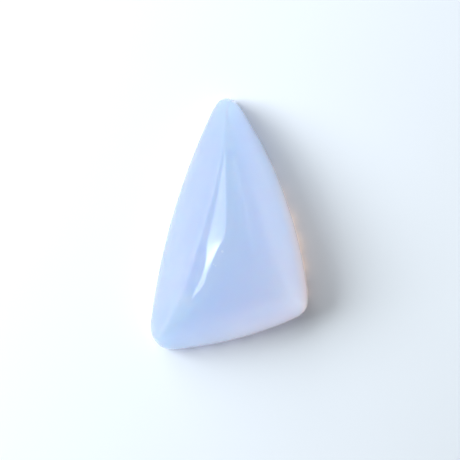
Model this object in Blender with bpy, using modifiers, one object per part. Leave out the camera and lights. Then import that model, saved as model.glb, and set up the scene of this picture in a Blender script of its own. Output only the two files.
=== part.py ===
"""Blue chalcedony, a loose three-cornered cabochon.

The stone lies on its flat back with the dome up (+Z) and its long pointed end towards +Y. Seen from
above, each side is a shallow arc. Above a thin upright girdle wall the three flanks sweep up and
meet in soft ridges, which run from the corners to one rounded summit.
"""

import math

import bmesh
import bpy
import numpy as np

# Driving dimensions, in metres

# Plan: where the three side arcs would meet if the corners were left sharp
TIP = (-0.00032, 0.01314)
HEEL = (-0.00777, -0.01240)
TOE = (0.00780, -0.00861)

LEFT_SIDE_RADIUS = 0.0660
RIGHT_SIDE_RADIUS = 0.0407
BOTTOM_SIDE_RADIUS = 0.0366

# How far each corner is rounded off, and how far along the sides and up the dome that reaches
TIP_ROUNDING = 0.00094
HEEL_ROUNDING = 0.00100
TOE_ROUNDING = 0.00029
ROUNDING_REACH = 0.00212
ROUNDING_FADE = 0.00048

# Section: height of the girdle wall, and the dome that rises from it. A flank would come level at
# its full height one sweep in from its side, but the flanks meet before they get there.
GIRDLE_WALL = 0.0008
BACK_BEVEL = 0.00022
FLANK_HEIGHT = 0.0088
LEFT_SWEEP = 0.01005
RIGHT_SWEEP = 0.0098
BOTTOM_SWEEP = 0.01326
SHOULDER = 0.73  # 0.5 gives elliptical flanks, 1.0 parabolic ones

# Softness of the ridges between the flanks, low on the dome and how much it grows to the summit
RIDGE_SOFTNESS = 0.00018
SUMMIT_SOFTNESS = 0.00240
SOFTNESS_GROWTH = 1.25
LEVEL_SOFTNESS = 0.05

# Fineness of the faceted solid
STATIONS = 120
DOME_RINGS = 28
BEVEL_SEGMENTS = 2
BEVEL_ANGLE_DEGREES = 70  # only the edge between wall and back turns more than this
TURN_WEIGHT = 0.0040  # metres of outline that one radian of turning counts for

# How finely the summit and the outline are searched for
SUMMIT_SEARCH_REACH = 0.006
SUMMIT_SEARCH_STEPS = 21
SUMMIT_SEARCH_ROUNDS = 8
SUMMIT_SEARCH_NARROWING = 4
OUTLINE_SEARCH_REACH = 0.03
OUTLINE_SEARCH_HALVINGS = 50
OUTLINE_SAMPLES = 2880

SPHERE_TOLERANCE = 1e-6  # on the unit sphere that is drawn out to the dome

STONE_BLUE = (0.45, 0.58, 0.86, 1.0)
STONE_ROUGHNESS = 0.06


def clear_scene():
    for obj in list(bpy.data.objects):
        bpy.data.objects.remove(obj, do_unlink=True)


def arc_centre(start, end, radius):
    """Centre of the arc that bulges to the right of the way from start to end."""
    start, end = np.array(start), np.array(end)
    chord = end - start
    length = math.hypot(*chord)
    inward = np.array((-chord[1], chord[0])) / length
    return (start + end) / 2 + inward * math.sqrt(radius**2 - (length / 2) ** 2)


# Each side in turn, anticlockwise from above: its arc's centre and radius, and its flank's sweep
SIDES = (
    (arc_centre(TIP, HEEL, LEFT_SIDE_RADIUS), LEFT_SIDE_RADIUS, LEFT_SWEEP),
    (arc_centre(HEEL, TOE, BOTTOM_SIDE_RADIUS), BOTTOM_SIDE_RADIUS, BOTTOM_SWEEP),
    (arc_centre(TOE, TIP, RIGHT_SIDE_RADIUS), RIGHT_SIDE_RADIUS, RIGHT_SWEEP),
)
CORNERS = ((TIP, TIP_ROUNDING), (HEEL, HEEL_ROUNDING), (TOE, TOE_ROUNDING))
MEAN_SWEEP = sum(sweep for _, _, sweep in SIDES) / len(SIDES)


def soft_min(values, softness):
    """Smallest of the values, with the change from one to the next rounded off."""
    least = values.min(axis=0)
    spread = np.exp((least - values) / softness).sum(axis=0)
    return least - softness * np.log(spread)


def rise(x, y):
    """How far up its sweep the dome is over a point of the plan: 0 on the outline, 1 level."""
    shares = np.stack(
        [(radius - np.hypot(x - centre[0], y - centre[1])) / sweep for centre, radius, sweep in SIDES]
    )
    level = np.clip(soft_min(shares, LEVEL_SOFTNESS), 0, 1)
    ridge = RIDGE_SOFTNESS + SUMMIT_SOFTNESS * level**SOFTNESS_GROWTH
    rounding = sum(
        amount * np.exp(-((x - corner[0]) ** 2 + (y - corner[1]) ** 2) / (2 * ROUNDING_REACH**2))
        for corner, amount in CORNERS
    )
    inside = np.clip(soft_min(shares, (ridge + rounding) / MEAN_SWEEP), 0, 1)
    rounding = rounding * np.exp(-inside * MEAN_SWEEP / ROUNDING_FADE)
    return soft_min(shares, (ridge + rounding) / MEAN_SWEEP)


def dome(x, y):
    """Height of the dome over the girdle wall."""
    left_over = np.clip(1 - rise(x, y), 0, 1)
    return FLANK_HEIGHT * (1 - left_over**2) ** SHOULDER


def summit():
    """Plan position of the highest point, found by narrowing a grid."""
    centre = np.zeros(2)
    half = SUMMIT_SEARCH_REACH
    for _ in range(SUMMIT_SEARCH_ROUNDS):
        steps = np.linspace(-half, half, SUMMIT_SEARCH_STEPS)
        x, y = np.meshgrid(centre[0] + steps, centre[1] + steps)
        best = np.argmax(rise(x, y))
        centre = np.array((x.flat[best], y.flat[best]))
        half /= SUMMIT_SEARCH_NARROWING
    return centre


def outline(centre, angles):
    """Points of the girdle outline in the given directions from the centre."""
    along = np.stack((np.cos(angles), np.sin(angles)))
    near = np.zeros_like(angles)
    far = np.full_like(angles, OUTLINE_SEARCH_REACH)
    for _ in range(OUTLINE_SEARCH_HALVINGS):
        middle = (near + far) / 2
        inside = rise(centre[0] + middle * along[0], centre[1] + middle * along[1]) > 0
        near = np.where(inside, middle, near)
        far = np.where(inside, far, middle)
    return centre + (near * along).T


def stations(centre, count):
    """Outline points, closer together where the outline turns sharply."""
    angles = np.linspace(0, 2 * math.pi, OUTLINE_SAMPLES + 1)
    points = outline(centre, angles)
    steps = np.diff(points, axis=0)
    heading = np.unwrap(np.arctan2(steps[:, 1], steps[:, 0]))
    turning = np.abs(np.diff(heading, append=heading[0] + 2 * math.pi))
    weight = np.hypot(steps[:, 0], steps[:, 1]) + TURN_WEIGHT * turning
    travelled = np.concatenate(([0.0], np.cumsum(weight)))
    wanted = np.linspace(0, travelled[-1], count, endpoint=False)
    return outline(centre, np.interp(wanted, travelled, angles))


def stone_mesh():
    """The upper half of a sphere drawn out to the dome, its rim run down to a flat back."""
    centre = summit()
    rim = stations(centre, STATIONS)
    middle = (rim.min(axis=0) + rim.max(axis=0)) / 2

    bm = bmesh.new()
    bmesh.ops.create_uvsphere(bm, u_segments=STATIONS, v_segments=2 * DOME_RINGS, radius=1.0)
    below = [vert for vert in bm.verts if vert.co.z < -SPHERE_TOLERANCE]
    bmesh.ops.delete(bm, geom=below, context="VERTS")

    for vert in bm.verts:
        out = math.hypot(vert.co.x, vert.co.y)
        turn = math.atan2(vert.co.y, vert.co.x) / (2 * math.pi)
        station = rim[round(turn * STATIONS) % STATIONS]
        x, y = centre + out * (station - centre)
        on_girdle = out > 1 - SPHERE_TOLERANCE
        height = GIRDLE_WALL if on_girdle else GIRDLE_WALL + float(dome(x, y))
        vert.co = (x - middle[0], y - middle[1], height)

    girdle = [edge for edge in bm.edges if edge.is_boundary]
    wall = bmesh.ops.extrude_edge_only(bm, edges=girdle)["geom"]
    for vert in wall:
        if isinstance(vert, bmesh.types.BMVert):
            vert.co.z = 0.0
    back = [edge for edge in wall if isinstance(edge, bmesh.types.BMEdge)]
    bmesh.ops.contextual_create(bm, geom=back)
    bmesh.ops.recalc_face_normals(bm, faces=bm.faces)

    mesh = bpy.data.meshes.new("cabochon")
    bm.to_mesh(mesh)
    bm.free()
    mesh.shade_smooth()
    return mesh


def stone_material():
    material = bpy.data.materials.new("blue_chalcedony")
    material.use_nodes = True
    shader = material.node_tree.nodes["Principled BSDF"]
    shader.inputs["Base Color"].default_value = STONE_BLUE
    shader.inputs["Roughness"].default_value = STONE_ROUGHNESS
    shader.inputs["Metallic"].default_value = 0.0
    material.diffuse_color = STONE_BLUE
    return material


def build_cabochon(collection):
    stone = bpy.data.objects.new("cabochon", stone_mesh())
    stone.data.materials.append(stone_material())
    collection.objects.link(stone)
    bevel = stone.modifiers.new("Back bevel", "BEVEL")
    bevel.width = BACK_BEVEL
    bevel.segments = BEVEL_SEGMENTS
    bevel.limit_method = "ANGLE"
    bevel.angle_limit = math.radians(BEVEL_ANGLE_DEGREES)
    bevel.use_clamp_overlap = False
    return stone


def main():
    clear_scene()
    collection = bpy.data.collections.new("Blue chalcedony cabochon")
    bpy.context.scene.collection.children.link(collection)
    build_cabochon(collection)


main()
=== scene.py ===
import math

import bmesh
import bpy
import numpy as np
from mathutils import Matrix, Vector


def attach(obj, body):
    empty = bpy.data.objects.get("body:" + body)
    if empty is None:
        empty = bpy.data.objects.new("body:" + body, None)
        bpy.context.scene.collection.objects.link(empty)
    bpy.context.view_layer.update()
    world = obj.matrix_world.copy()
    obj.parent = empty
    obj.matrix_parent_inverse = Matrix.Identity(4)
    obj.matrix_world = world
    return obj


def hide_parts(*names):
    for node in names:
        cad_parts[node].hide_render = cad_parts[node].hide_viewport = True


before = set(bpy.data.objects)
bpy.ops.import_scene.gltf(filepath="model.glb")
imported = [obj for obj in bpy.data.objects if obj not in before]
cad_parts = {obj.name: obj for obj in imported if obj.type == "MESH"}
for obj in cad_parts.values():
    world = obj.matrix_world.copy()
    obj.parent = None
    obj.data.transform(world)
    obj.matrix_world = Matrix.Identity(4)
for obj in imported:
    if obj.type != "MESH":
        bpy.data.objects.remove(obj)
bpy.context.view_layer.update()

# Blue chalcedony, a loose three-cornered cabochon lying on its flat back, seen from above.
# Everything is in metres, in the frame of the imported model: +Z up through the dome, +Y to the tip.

# The photograph's frame: its side in pixels, and the pixel that the middle of the stone falls on
FRAME_PIXELS = 460
STONE_MIDDLE_PIXEL = (229.2, 223.8)
METRES_PER_PIXEL = 0.0000964
LENS_MM = 100.0
SENSOR_MM = 36.0
CLIP_START = 0.005

# Form of the stone, the same as the solid's
TIP = (-0.00032, 0.01314)
HEEL = (-0.00777, -0.01240)
TOE = (0.00780, -0.00861)
LEFT_SIDE_RADIUS = 0.0660
RIGHT_SIDE_RADIUS = 0.0407
BOTTOM_SIDE_RADIUS = 0.0366
TIP_ROUNDING = 0.00094
HEEL_ROUNDING = 0.00100
TOE_ROUNDING = 0.00029
ROUNDING_REACH = 0.00212
ROUNDING_FADE = 0.00048
GIRDLE_WALL = 0.0008
BACK_BEVEL = 0.00022
FLANK_HEIGHT = 0.0088
LEFT_SWEEP = 0.01005
RIGHT_SWEEP = 0.0098
BOTTOM_SWEEP = 0.01326
SHOULDER = 0.73
RIDGE_SOFTNESS = 0.00018
SUMMIT_SOFTNESS = 0.00240
SOFTNESS_GROWTH = 1.25
LEVEL_SOFTNESS = 0.05

# Fineness of the polished surface
STATIONS = 480
DOME_RINGS = 150
WALL_RINGS = 3
BEVEL_RINGS = 5
BACK_RINGS = 8
TURN_WEIGHT = 0.0040

# How finely the summit and the outline are searched for
SUMMIT_SEARCH_REACH = 0.006
SUMMIT_SEARCH_STEPS = 21
SUMMIT_SEARCH_ROUNDS = 8
SUMMIT_SEARCH_NARROWING = 4
OUTLINE_SEARCH_REACH = 0.03
OUTLINE_SEARCH_HALVINGS = 50
OUTLINE_SAMPLES = 2880
FLAT_TOLERANCE = 1e-6

# The stone's form


def arc_centre(start, end, radius):
    """Centre of the arc that bulges to the right of the way from start to end."""
    start, end = np.array(start), np.array(end)
    chord = end - start
    length = math.hypot(*chord)
    inward = np.array((-chord[1], chord[0])) / length
    return (start + end) / 2 + inward * math.sqrt(radius**2 - (length / 2) ** 2)


SIDES = (
    (arc_centre(TIP, HEEL, LEFT_SIDE_RADIUS), LEFT_SIDE_RADIUS, LEFT_SWEEP),
    (arc_centre(HEEL, TOE, BOTTOM_SIDE_RADIUS), BOTTOM_SIDE_RADIUS, BOTTOM_SWEEP),
    (arc_centre(TOE, TIP, RIGHT_SIDE_RADIUS), RIGHT_SIDE_RADIUS, RIGHT_SWEEP),
)
CORNERS = ((TIP, TIP_ROUNDING), (HEEL, HEEL_ROUNDING), (TOE, TOE_ROUNDING))
MEAN_SWEEP = sum(sweep for _, _, sweep in SIDES) / len(SIDES)


def soft_min(values, softness):
    """Smallest of the values, with the change from one to the next rounded off."""
    least = values.min(axis=0)
    spread = np.exp((least - values) / softness).sum(axis=0)
    return least - softness * np.log(spread)


def rise(x, y):
    """How far up its sweep the dome is over a point of the plan: 0 on the outline, 1 level."""
    shares = np.stack(
        [(radius - np.hypot(x - centre[0], y - centre[1])) / sweep for centre, radius, sweep in SIDES]
    )
    level = np.clip(soft_min(shares, LEVEL_SOFTNESS), 0, 1)
    ridge = RIDGE_SOFTNESS + SUMMIT_SOFTNESS * level**SOFTNESS_GROWTH
    rounding = sum(
        amount * np.exp(-((x - corner[0]) ** 2 + (y - corner[1]) ** 2) / (2 * ROUNDING_REACH**2))
        for corner, amount in CORNERS
    )
    inside = np.clip(soft_min(shares, (ridge + rounding) / MEAN_SWEEP), 0, 1)
    rounding = rounding * np.exp(-inside * MEAN_SWEEP / ROUNDING_FADE)
    return soft_min(shares, (ridge + rounding) / MEAN_SWEEP)


def dome(x, y):
    """Height of the dome over the girdle wall."""
    left_over = np.clip(1 - rise(x, y), 0, 1)
    return FLANK_HEIGHT * (1 - left_over**2) ** SHOULDER


def summit():
    """Plan position of the highest point, found by narrowing a grid."""
    centre = np.zeros(2)
    half = SUMMIT_SEARCH_REACH
    for _ in range(SUMMIT_SEARCH_ROUNDS):
        steps = np.linspace(-half, half, SUMMIT_SEARCH_STEPS)
        x, y = np.meshgrid(centre[0] + steps, centre[1] + steps)
        best = np.argmax(rise(x, y))
        centre = np.array((x.flat[best], y.flat[best]))
        half /= SUMMIT_SEARCH_NARROWING
    return centre


def outline(centre, angles):
    """Points of the girdle outline in the given directions from the centre."""
    along = np.stack((np.cos(angles), np.sin(angles)))
    near = np.zeros_like(angles)
    far = np.full_like(angles, OUTLINE_SEARCH_REACH)
    for _ in range(OUTLINE_SEARCH_HALVINGS):
        middle = (near + far) / 2
        inside = rise(centre[0] + middle * along[0], centre[1] + middle * along[1]) > 0
        near = np.where(inside, middle, near)
        far = np.where(inside, far, middle)
    return centre + (near * along).T


def stations(centre, count):
    """Outline points, closer together where the outline turns sharply."""
    angles = np.linspace(0, 2 * math.pi, OUTLINE_SAMPLES + 1)
    points = outline(centre, angles)
    steps = np.diff(points, axis=0)
    heading = np.unwrap(np.arctan2(steps[:, 1], steps[:, 0]))
    turning = np.abs(np.diff(heading, append=heading[0] + 2 * math.pi))
    weight = np.hypot(steps[:, 0], steps[:, 1]) + TURN_WEIGHT * turning
    travelled = np.concatenate(([0.0], np.cumsum(weight)))
    wanted = np.linspace(0, travelled[-1], count, endpoint=False)
    return outline(centre, np.interp(wanted, travelled, angles))


def section_rings():
    """Every ring from next to the summit, over the girdle, to next to the middle of the back.

    Each is (share of the way out to the girdle, distance in from it, height). The first
    DOME_RINGS of them take their height from the dome instead.
    """
    rings = [(math.sin(0.5 * math.pi * i / (DOME_RINGS + 1)), 0.0, 0.0) for i in range(1, DOME_RINGS + 1)]
    for i in range(WALL_RINGS):
        rings.append((1.0, 0.0, GIRDLE_WALL + (BACK_BEVEL - GIRDLE_WALL) * i / WALL_RINGS))
    for i in range(BEVEL_RINGS + 1):
        turn = 0.5 * math.pi * i / BEVEL_RINGS
        rings.append((1.0, BACK_BEVEL * (1 - math.cos(turn)), BACK_BEVEL * (1 - math.sin(turn))))
    for i in range(1, BACK_RINGS + 1):
        rings.append((1 - i / (BACK_RINGS + 1), BACK_BEVEL, 0.0))
    return rings


SUMMIT = summit()
RIM = stations(SUMMIT, STATIONS)
MIDDLE = (RIM.min(axis=0) + RIM.max(axis=0)) / 2


def stone_mesh():
    """Rings of points over the dome, down the girdle wall, round the bevel and across the back."""
    out = RIM - SUMMIT
    reach = np.hypot(out[:, 0], out[:, 1])[:, None]

    bm = bmesh.new()
    top = bm.verts.new((*(SUMMIT - MIDDLE), GIRDLE_WALL + float(dome(*SUMMIT))))
    bottom = bm.verts.new((*(SUMMIT - MIDDLE), 0.0))
    loops = []
    for number, (share, inset, height) in enumerate(section_rings()):
        ring = SUMMIT + share * (1 - inset / reach) * out
        on_dome = number < DOME_RINGS
        heights = GIRDLE_WALL + dome(ring[:, 0], ring[:, 1]) if on_dome else np.full(STATIONS, height)
        points = np.column_stack((ring - MIDDLE, heights))
        loops.append([bm.verts.new(point) for point in points])
    for i in range(STATIONS):
        j = (i + 1) % STATIONS
        bm.faces.new((top, loops[0][i], loops[0][j]))
        for upper, lower in zip(loops, loops[1:]):
            bm.faces.new((upper[i], lower[i], lower[j], upper[j]))
        bm.faces.new((bottom, loops[-1][j], loops[-1][i]))
    for face in bm.faces:
        face.smooth = True
        on_back = max(vert.co.z for vert in face.verts) < FLAT_TOLERANCE
        face.material_index = int(on_back)

    mesh = bpy.data.meshes.new("cabochon_stone")
    bm.to_mesh(mesh)
    bm.free()
    return mesh


# Body of the stone: blue with milkier patches, where the cloud noise runs from low to high
BODY_BLUE = (0.475, 0.585, 0.88, 1.0)
MILKY_BLUE = (0.52, 0.62, 0.89, 1.0)
CLOUD_LOW, CLOUD_HIGH = 0.35, 0.68

# Lavender tint that grows towards the toe, a painted glow of warm light that has come through the stone
TOE_GLOW_LAVENDER = (0.585, 0.58, 0.765, 1.0)
TOE_WAY = (0.80, -0.60, 0.0)
TOE_GLOW_FROM, TOE_GLOW_TO = 0.002, 0.013

# Painted shade: deeper blue at the thin tip, by distance along the stone, and at the heel, by distance
# from it
PAINTED_SHADE_BLUE = (0.445, 0.55, 0.885, 1.0)
TIP_SHADE_FROM, TIP_SHADE_TO = 0.003, 0.011
HEEL_SHADE_FULL, HEEL_SHADE_END = 0.0015, 0.0065
HEEL_SHADE_SHARE = 0.9

# Painted glow: warm tint in the lower part of the right edge, for light that has crossed the stone
PAINTED_WARM_GLOW = (0.75, 0.63, 0.66, 1.0)
WARM_GLOW_WIDTH = 0.0012
WARM_GLOW_SHARE = 0.5
WARM_GLOW_FULL, WARM_GLOW_END = -0.002, 0.007

# Tiny pale flecks near the summit: place, radius
FLECK_WHITE = (0.72, 0.78, 0.95, 1.0)
FLECK_SHARE = 0.5
FLECK_CORE = 0.4
FLECKS = (
    ((-0.00062, -0.00255, 0.00787), 0.00017),
    ((-0.00143, -0.00372, 0.00767), 0.00012),
    ((-0.00125, -0.00385, 0.00766), 0.00010),
)

# Painted shade along two of the ridges, as deeper blue patches: place in plan, radius
RIDGE_SHADE_SHARE = 0.85
RIDGE_SHADES = (
    ((0.0001, 0.0096), 0.0009),
    ((0.0001, 0.0080), 0.0010),
    ((0.0002, 0.0064), 0.0009),
    ((-0.0025, -0.0024), 0.0012),
    ((-0.0030, -0.0040), 0.0015),
    ((-0.0035, -0.0057), 0.0015),
)

# Finish of the dome and of the girdle wall, and how light spreads inside
POLISH_ROUGHNESS = 0.035
SATIN_ROUGHNESS = 0.30
LIGHT_REACH = (0.6, 1.0, 1.0)
LIGHT_REACH_SCALE = 0.005
STONE_IOR = 1.54

# Ground back and floor
BACK_BLUE = (0.46, 0.58, 0.84, 1.0)
GRINDING_PALE = (0.58, 0.68, 0.88, 1.0)
GRINDING_ANGLE = math.radians(24)
FLOOR_PALE = (0.88, 0.88, 0.88, 1.0)


def node(tree, kind, **settings):
    """New node of a kind, with its settings."""
    made = tree.nodes.new(kind)
    for name, value in settings.items():
        setattr(made, name, value)
    return made


def clouds_group():
    """Faint cloudiness inside the stone: soft patches stretched along its length, and a fine haze."""
    group = bpy.data.node_groups.new("chalcedony_clouds", "ShaderNodeTree")
    face = group.interface
    face.new_socket("Patch Size", in_out="INPUT", socket_type="NodeSocketFloat")
    face.new_socket("Haze Size", in_out="INPUT", socket_type="NodeSocketFloat")
    face.new_socket("Clouds", in_out="OUTPUT", socket_type="NodeSocketFloat")
    face.new_socket("Haze", in_out="OUTPUT", socket_type="NodeSocketFloat")
    given = node(group, "NodeGroupInput")
    result = node(group, "NodeGroupOutput")
    where = node(group, "ShaderNodeTexCoord")
    stretch = node(group, "ShaderNodeMapping")
    stretch.inputs["Scale"].default_value = (1.0, 0.45, 1.3)
    patches = node(group, "ShaderNodeTexNoise")
    patches.inputs["Detail"].default_value = 2.0
    patches.inputs["Roughness"].default_value = 0.45
    haze = node(group, "ShaderNodeTexNoise")
    haze.inputs["Detail"].default_value = 4.0
    haze.inputs["Roughness"].default_value = 0.6
    link = group.links.new
    link(where.outputs["Object"], stretch.inputs["Vector"])
    link(stretch.outputs["Vector"], patches.inputs["Vector"])
    link(where.outputs["Object"], haze.inputs["Vector"])
    link(given.outputs["Patch Size"], patches.inputs["Scale"])
    link(given.outputs["Haze Size"], haze.inputs["Scale"])
    link(patches.outputs["Fac"], result.inputs["Clouds"])
    link(haze.outputs["Fac"], result.inputs["Haze"])
    return group


def mix_colour(tree, share, first, second):
    """Mix node between two colours; each input is a socket or a plain value."""
    mix = node(tree, "ShaderNodeMix", data_type="RGBA", clamp_factor=True)
    for slot, value in ((mix.inputs[0], share), (mix.inputs[6], first), (mix.inputs[7], second)):
        if isinstance(value, bpy.types.NodeSocket):
            tree.links.new(value, slot)
        else:
            slot.default_value = value
    return mix.outputs[2]


def ramp(tree, value, low, high, low_to=0.0, high_to=1.0, smooth=True):
    """Map Range node that runs from low to high."""
    mapped = node(tree, "ShaderNodeMapRange", interpolation_type="SMOOTHSTEP" if smooth else "LINEAR")
    tree.links.new(value, mapped.inputs["Value"])
    mapped.inputs["From Min"].default_value = low
    mapped.inputs["From Max"].default_value = high
    mapped.inputs["To Min"].default_value = low_to
    mapped.inputs["To Max"].default_value = high_to
    return mapped.outputs["Result"]


def distance_along(tree, direction, origin=(0.0, 0.0, 0.0)):
    """How far each point of the stone lies from the origin along a direction, in metres."""
    where = node(tree, "ShaderNodeTexCoord")
    shift = node(tree, "ShaderNodeVectorMath", operation="SUBTRACT")
    shift.inputs[1].default_value = origin
    along = node(tree, "ShaderNodeVectorMath", operation="DOT_PRODUCT")
    along.inputs[1].default_value = Vector(direction).normalized()
    tree.links.new(where.outputs["Object"], shift.inputs[0])
    tree.links.new(shift.outputs["Vector"], along.inputs[0])
    return along.outputs["Value"]


def distance_from(tree, point, flat=False):
    """How far each point of the stone lies from a place, in metres, in plan only if flat."""
    where = node(tree, "ShaderNodeTexCoord")
    flatten = node(tree, "ShaderNodeVectorMath", operation="MULTIPLY")
    flatten.inputs[1].default_value = (1.0, 1.0, 0.0 if flat else 1.0)
    apart = node(tree, "ShaderNodeVectorMath", operation="DISTANCE")
    apart.inputs[1].default_value = point
    tree.links.new(where.outputs["Object"], flatten.inputs[0])
    tree.links.new(flatten.outputs["Vector"], apart.inputs[0])
    return apart.outputs["Value"]


def translucent(shader):
    """Light enters, scatters and comes out again, red further along than blue."""
    shader.subsurface_method = "RANDOM_WALK"
    shader.inputs["Subsurface Weight"].default_value = 1.0
    shader.inputs["Subsurface Radius"].default_value = LIGHT_REACH
    shader.inputs["Subsurface Scale"].default_value = LIGHT_REACH_SCALE
    shader.inputs["IOR"].default_value = STONE_IOR


def polished_chalcedony(clouds):
    """Milky blue stone with a glassy polish over the dome and a satin girdle wall."""
    material = bpy.data.materials.new("polished_chalcedony")
    material.use_nodes = True
    tree = material.node_tree
    shader = tree.nodes["Principled BSDF"]
    translucent(shader)
    link = tree.links.new

    cloudy = node(tree, "ShaderNodeGroup", node_tree=clouds)
    cloudy.inputs["Patch Size"].default_value = 170.0
    cloudy.inputs["Haze Size"].default_value = 900.0
    milky = ramp(tree, cloudy.outputs["Clouds"], CLOUD_LOW, CLOUD_HIGH)
    body = mix_colour(tree, milky, BODY_BLUE, MILKY_BLUE)
    # Painted glow: lavender towards the toe, for warm light that has come through the stone
    toeward = distance_along(tree, TOE_WAY)
    body = mix_colour(tree, ramp(tree, toeward, TOE_GLOW_FROM, TOE_GLOW_TO), body, TOE_GLOW_LAVENDER)

    # Painted shade: the thin ends are given a deeper blue, as they send less light back
    lengthways = distance_along(tree, (0.0, 1.0, 0.0))
    body = mix_colour(tree, ramp(tree, lengthways, TIP_SHADE_FROM, TIP_SHADE_TO), body, PAINTED_SHADE_BLUE)
    from_heel = distance_from(tree, (*(HEEL - MIDDLE), 0.0), flat=True)
    heel_shade = ramp(tree, from_heel, HEEL_SHADE_FULL, HEEL_SHADE_END, HEEL_SHADE_SHARE, 0.0)
    body = mix_colour(tree, heel_shade, body, PAINTED_SHADE_BLUE)

    # Painted glow on the thin right edge: a warm colour for light from the other side, which reddens as
    # it crosses the stone
    arc_middle, arc_radius, _ = SIDES[2]
    from_arc = distance_from(tree, (*(arc_middle - MIDDLE), 0.0), flat=True)
    thin = ramp(tree, from_arc, arc_radius - WARM_GLOW_WIDTH, arc_radius, 0.0, WARM_GLOW_SHARE)
    low = ramp(tree, lengthways, WARM_GLOW_FULL, WARM_GLOW_END, 1.0, 0.0)
    warm_glow_share = node(tree, "ShaderNodeMath", operation="MULTIPLY")
    link(thin, warm_glow_share.inputs[0])
    link(low, warm_glow_share.inputs[1])
    body = mix_colour(tree, warm_glow_share.outputs["Value"], body, PAINTED_WARM_GLOW)

    # Painted shade: deeper blue patches along the ridges
    for place, size in RIDGE_SHADES:
        ridge_shade = ramp(tree, distance_from(tree, (*place, 0.0), flat=True), 0.0, size, RIDGE_SHADE_SHARE, 0.0)
        body = mix_colour(tree, ridge_shade, body, PAINTED_SHADE_BLUE)

    for place, size in FLECKS:
        fleck = ramp(tree, distance_from(tree, place), FLECK_CORE * size, size, FLECK_SHARE, 0.0)
        body = mix_colour(tree, fleck, body, FLECK_WHITE)
    link(body, shader.inputs["Base Color"])

    height = distance_along(tree, (0.0, 0.0, 1.0))
    satin = ramp(tree, height, 0.5 * GIRDLE_WALL, GIRDLE_WALL, SATIN_ROUGHNESS, POLISH_ROUGHNESS)
    link(satin, shader.inputs["Roughness"])

    bump = node(tree, "ShaderNodeBump")
    bump.inputs["Strength"].default_value = 0.25
    bump.inputs["Distance"].default_value = 0.000004
    link(cloudy.outputs["Haze"], bump.inputs["Height"])
    link(bump.outputs["Normal"], shader.inputs["Normal"])
    return material


def ground_back(clouds):
    """The flat back: finely ground, frosted, with grinding marks one way and tiny pits."""
    material = bpy.data.materials.new("ground_back")
    material.use_nodes = True
    tree = material.node_tree
    shader = tree.nodes["Principled BSDF"]
    translucent(shader)
    link = tree.links.new

    cloudy = node(tree, "ShaderNodeGroup", node_tree=clouds)
    cloudy.inputs["Patch Size"].default_value = 230.0
    cloudy.inputs["Haze Size"].default_value = 2600.0
    where = node(tree, "ShaderNodeTexCoord")
    lay = node(tree, "ShaderNodeMapping")
    lay.inputs["Rotation"].default_value = (0.0, 0.0, GRINDING_ANGLE)
    lay.inputs["Scale"].default_value = (1.0, 0.05, 1.0)
    marks = node(tree, "ShaderNodeTexNoise")
    marks.inputs["Scale"].default_value = 5200.0
    marks.inputs["Detail"].default_value = 3.0
    link(where.outputs["Object"], lay.inputs["Vector"])
    link(lay.outputs["Vector"], marks.inputs["Vector"])
    scored = ramp(tree, marks.outputs["Fac"], 0.52, 0.72)
    pitted = ramp(tree, cloudy.outputs["Haze"], 0.66, 0.74)

    milky = ramp(tree, cloudy.outputs["Clouds"], CLOUD_LOW, CLOUD_HIGH)
    body = mix_colour(tree, milky, BACK_BLUE, MILKY_BLUE)
    body = mix_colour(tree, scored, body, GRINDING_PALE)
    link(body, shader.inputs["Base Color"])
    link(ramp(tree, marks.outputs["Fac"], 0.35, 0.70, 0.34, 0.52), shader.inputs["Roughness"])

    relief = node(tree, "ShaderNodeMath", operation="ADD")
    link(scored, relief.inputs[0])
    link(pitted, relief.inputs[1])
    bump = node(tree, "ShaderNodeBump", invert=True)
    bump.inputs["Strength"].default_value = 0.6
    bump.inputs["Distance"].default_value = 0.00002
    link(relief.outputs["Value"], bump.inputs["Height"])
    link(bump.outputs["Normal"], shader.inputs["Normal"])
    return material


def pale_floor_material():
    """Plain matt surface that the stone lies on."""
    material = bpy.data.materials.new("pale_floor")
    material.use_nodes = True
    shader = material.node_tree.nodes["Principled BSDF"]
    shader.inputs["Base Color"].default_value = FLOOR_PALE
    shader.inputs["Roughness"].default_value = 0.8
    shader.inputs["Specular IOR Level"].default_value = 0.2
    return material


# The piece

clouds = clouds_group()
cabochon_stone = bpy.data.objects.new("cabochon_stone", stone_mesh())
bpy.context.scene.collection.objects.link(cabochon_stone)
cabochon_stone.data.materials.append(polished_chalcedony(clouds))
cabochon_stone.data.materials.append(ground_back(clouds))
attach(cabochon_stone, "root")
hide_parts("cabochon")

# Floor

FLOOR_REACH = 1.5
floor_mesh = bpy.data.meshes.new("floor")
bm = bmesh.new()
bmesh.ops.create_grid(bm, x_segments=1, y_segments=1, size=FLOOR_REACH)
bm.to_mesh(floor_mesh)
bm.free()
floor = bpy.data.objects.new("floor", floor_mesh)
bpy.context.scene.collection.objects.link(floor)
floor.data.materials.append(pale_floor_material())

# Light. Directions are azimuths from +X towards +Y and elevations above the floor, in degrees, and
# radiances are relative to a white floor in full light. The floor and the stone have lights of
# their own, because light that crosses the stone and comes out again is not traced.

LIGHT_DISTANCE = 0.25
STONE_MIDDLE = Vector((0.0, 0.0, 0.004))
KEY_AZIMUTH = 160
NEAR_SURROUND = (0.38, 0.42, 0.46, 1.0)
FAR_SURROUND = (0.215, 0.225, 0.235, 1.0)
SURROUND_CHANGE = 0.8

only_floor = bpy.data.collections.new("lit_floor")
only_floor.objects.link(floor)
only_stone = bpy.data.collections.new("lit_stone")
only_stone.objects.link(cabochon_stone)


def direction(azimuth, elevation):
    """Unit vector towards a direction over the floor."""
    a, e = math.radians(azimuth), math.radians(elevation)
    return Vector((math.cos(e) * math.cos(a), math.cos(e) * math.sin(a), math.sin(e)))


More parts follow.
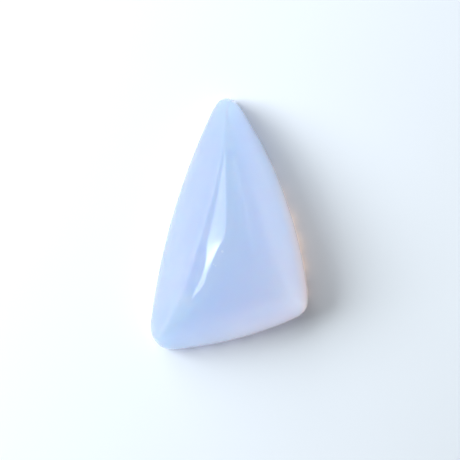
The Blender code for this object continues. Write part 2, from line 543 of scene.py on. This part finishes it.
def soft_panel(name, place, facing, size, radiance, receiver, body=True, polish=True):
    """Rectangular light that lights the objects of the receiver collection alone.

    facing is the direction from which it shines. body says whether it lights matt and scattering
    surfaces, and polish whether it is reflected.
    """
    width, height = size
    light = bpy.data.lights.new(name, "AREA")
    light.shape = "RECTANGLE"
    light.size = width
    light.size_y = height
    light.energy = max(radiance) * math.pi * width * height
    light.color = [value / max(radiance) for value in radiance]
    lamp = bpy.data.objects.new(name, light)
    lamp.location = STONE_MIDDLE + place
    lamp.rotation_euler = facing.to_track_quat("Z", "Y").to_euler()
    lamp.visible_camera = False
    lamp.visible_diffuse = body
    lamp.visible_glossy = polish
    lamp.light_linking.receiver_collection = receiver
    bpy.context.scene.collection.objects.link(lamp)


def body_panel(name, towards, spread, radiance, receiver):
    """Panel turned to the stone from a direction, so many degrees wide and high, not reflected."""
    way = direction(*towards)
    size = [2 * LIGHT_DISTANCE * math.tan(math.radians(angle) / 2) for angle in spread]
    soft_panel(name, way * LIGHT_DISTANCE, way, size, radiance, receiver, polish=False)


def reflected_light(name, knots, tint, strips):
    """Light that only the polish shows, in narrow upright strips side by side.

    knots are (azimuth, lower edge, upper edge, radiance), and the strips run evenly from the first
    to the last of them.
    """
    azimuths = np.linspace(knots[0][0], knots[-1][0], strips + 1)
    middles = (azimuths[:-1] + azimuths[1:]) / 2
    width = 2 * LIGHT_DISTANCE * math.tan(math.radians(azimuths[1] - azimuths[0]) / 2)
    columns = np.array(knots).T
    for number, azimuth in enumerate(middles):
        low, high, radiance = (float(np.interp(azimuth, columns[0], column)) for column in columns[1:])
        low, high = (LIGHT_DISTANCE * math.tan(math.radians(angle)) for angle in (low, high))
        way = direction(azimuth, 0)
        soft_panel(
            f"{name}_{number}",
            way * LIGHT_DISTANCE + Vector((0, 0, (low + high) / 2)),
            way,
            (width, high - low),
            [radiance * part for part in tint],
            only_stone,
            body=False,
        )


# The key light as it falls on the floor, with the stone's shadow: direction, width and height in
# degrees, radiance
KEY_ON_FLOOR = (
    ("key_side", (127.5, 33.5), (45, 31), (3.1, 3.4, 3.7)),
    ("key_middle", (166, 32.5), (32, 25), (12.9, 14.3, 15.6)),
)
for name, towards, spread, radiance in KEY_ON_FLOOR:
    body_panel(name, towards, spread, radiance, only_floor)

# The key light as the polish shows it: azimuth, lower and upper edge, radiance. It is brightest
# near its right-hand end, and the highlight on the dome takes its comma shape from its edges.
KEY = (
    (139.5, 15, 56, 2.1),
    (147, 11.5, 61, 2.4),
    (155, 10, 65, 2.4),
    (162, 9.5, 66, 2.7),
    (166.5, 10.5, 63, 4.0),
    (169.5, 15, 58, 7.2),
    (172, 20.5, 52.5, 10.8),
    (174.5, 25, 49.5, 12.6),
    (177.5, 28.5, 46.5, 12.0),
    (181, 31, 45, 9.4),
    (185, 33.5, 44.5, 6.6),
    (191, 36, 45.5, 4.8),
    (218, 37.5, 48, 4.2),
)
KEY_TINT = (1.0, 1.13, 1.28)
KEY_STRIPS = 40
reflected_light("key_strip", KEY, KEY_TINT, KEY_STRIPS)

# A faint light on the other side, which ends upwards in a brighter rim: azimuth, height and
# radiance of the rim. It shows as a thin line down the right flank, with a paler band outside it.
FAR_RIM = (
    (3, 33, 0.3),
    (12, 26, 0.9),
    (19, 22, 1.3),
    (27, 18.5, 1.3),
    (49, 39.5, 1.1),
    (62, 40, 0.7),
    (81, 33, 0.1),
)
RIM_HALF_HEIGHT = 3
RIM_STRIPS = 26
FAR_FOOT = 2
FAR_SHARE = 0.3
FAR_STRIPS = 13
rim_knots = [
    (azimuth, rim - RIM_HALF_HEIGHT, rim + RIM_HALF_HEIGHT, radiance)
    for azimuth, rim, radiance in FAR_RIM
]
far_knots = [(azimuth, FAR_FOOT, rim, FAR_SHARE * radiance) for azimuth, rim, radiance in FAR_RIM]
reflected_light("rim_strip", rim_knots, KEY_TINT, RIM_STRIPS)
reflected_light("far_strip", far_knots, KEY_TINT, FAR_STRIPS)

# Even light on the body of the stone from round about, which in the real one spreads inside it
GLOW = (
    ("glow_right", 0, (3.0, 2.8, 2.3)),
    ("glow_head", 90, (0.7, 0.75, 0.95)),
    ("glow_head_left", 135, (1.8, 1.6, 1.1)),
    ("glow_foot_left", 225, (2.4, 2.3, 1.9)),
    ("glow_foot", 270, (0.05, 0.1, 0.35)),
    ("glow_foot_right", 315, (0.55, 0.6, 0.6)),
)
GLOW_ELEVATION = 25
GLOW_SPREAD = (45, 50)
for name, azimuth, radiance in GLOW:
    body_panel(name, (azimuth, GLOW_ELEVATION), GLOW_SPREAD, radiance, only_stone)

# Light that has come through the stone and leaves it low down: warm on the side away from the key
# light, where it has gone furthest, and pale blue along the foot. It dies away near the toe.
LEAK_PANELS = 30
LEAK_HEIGHT = 0.0016
WARM_LEAK_HEIGHT = 0.0006
LEAK_GAP = 0.00002
LEAK_WARM = (0.98, 0.64, 0.40)
LEAK_COOL = (0.29, 0.30, 0.42)
LEAK_FADE = 0.009
WARM_LEAK_FADE = 0.006
WARM_STARTS, WARM_FULL = 0.0065, -0.0010
leak_points = RIM[:: STATIONS // LEAK_PANELS] - MIDDLE
for number in range(LEAK_PANELS):
    start, end = leak_points[number], leak_points[(number + 1) % LEAK_PANELS]
    middle = (start + end) / 2
    outward = Vector((end[1] - start[1], start[0] - end[0], 0.0)).normalized()
    on_right = min(max(outward.x, 0.0), 1.0) ** 2
    down = float(np.clip((WARM_STARTS - middle[1]) / (WARM_STARTS - WARM_FULL), 0, 1))
    leak_height = LEAK_HEIGHT + (WARM_LEAK_HEIGHT - LEAK_HEIGHT) * on_right
    fade = LEAK_FADE + (WARM_LEAK_FADE - LEAK_FADE) * on_right
    from_toe = min(1.0, float(np.hypot(*(middle + MIDDLE - TOE))) / fade)
    soft_panel(
        f"leak_{number}",
        Vector((*middle, leak_height / 2)) + outward * LEAK_GAP - STONE_MIDDLE,
        -outward,
        (float(np.hypot(*(end - start))), leak_height),
        [
            (cool + (warm * down - cool) * on_right) * from_toe
            for warm, cool in zip(LEAK_WARM, LEAK_COOL)
        ],
        only_floor,
        polish=False,
    )

# Surround: paler towards the key light, darker on the other side
world = bpy.data.worlds.new("surround")
bpy.context.scene.world = world
world.use_nodes = True
surround = world.node_tree
where = node(surround, "ShaderNodeTexCoord")
keyward = node(surround, "ShaderNodeVectorMath", operation="DOT_PRODUCT")
keyward.inputs[1].default_value = direction(KEY_AZIMUTH, 0)
surround.links.new(where.outputs["Generated"], keyward.inputs[0])
nearness = ramp(surround, keyward.outputs["Value"], -SURROUND_CHANGE, SURROUND_CHANGE)
tone = mix_colour(surround, nearness, FAR_SURROUND, NEAR_SURROUND)
surround.links.new(tone, surround.nodes["Background"].inputs["Color"])

# Camera: straight above, as in the photograph

camera_data = bpy.data.cameras.new("camera")
camera_data.lens = LENS_MM
camera_data.sensor_width = SENSOR_MM
camera_data.clip_start = CLIP_START
camera = bpy.data.objects.new("camera", camera_data)
bpy.context.scene.collection.objects.link(camera)
frame_width = FRAME_PIXELS * METRES_PER_PIXEL
camera.location = (
    (FRAME_PIXELS / 2 - STONE_MIDDLE_PIXEL[0]) * METRES_PER_PIXEL,
    (STONE_MIDDLE_PIXEL[1] - FRAME_PIXELS / 2) * METRES_PER_PIXEL,
    GIRDLE_WALL + frame_width * LENS_MM / SENSOR_MM,
)
bpy.context.scene.camera = camera
bpy.context.scene.view_settings.view_transform = "Standard"
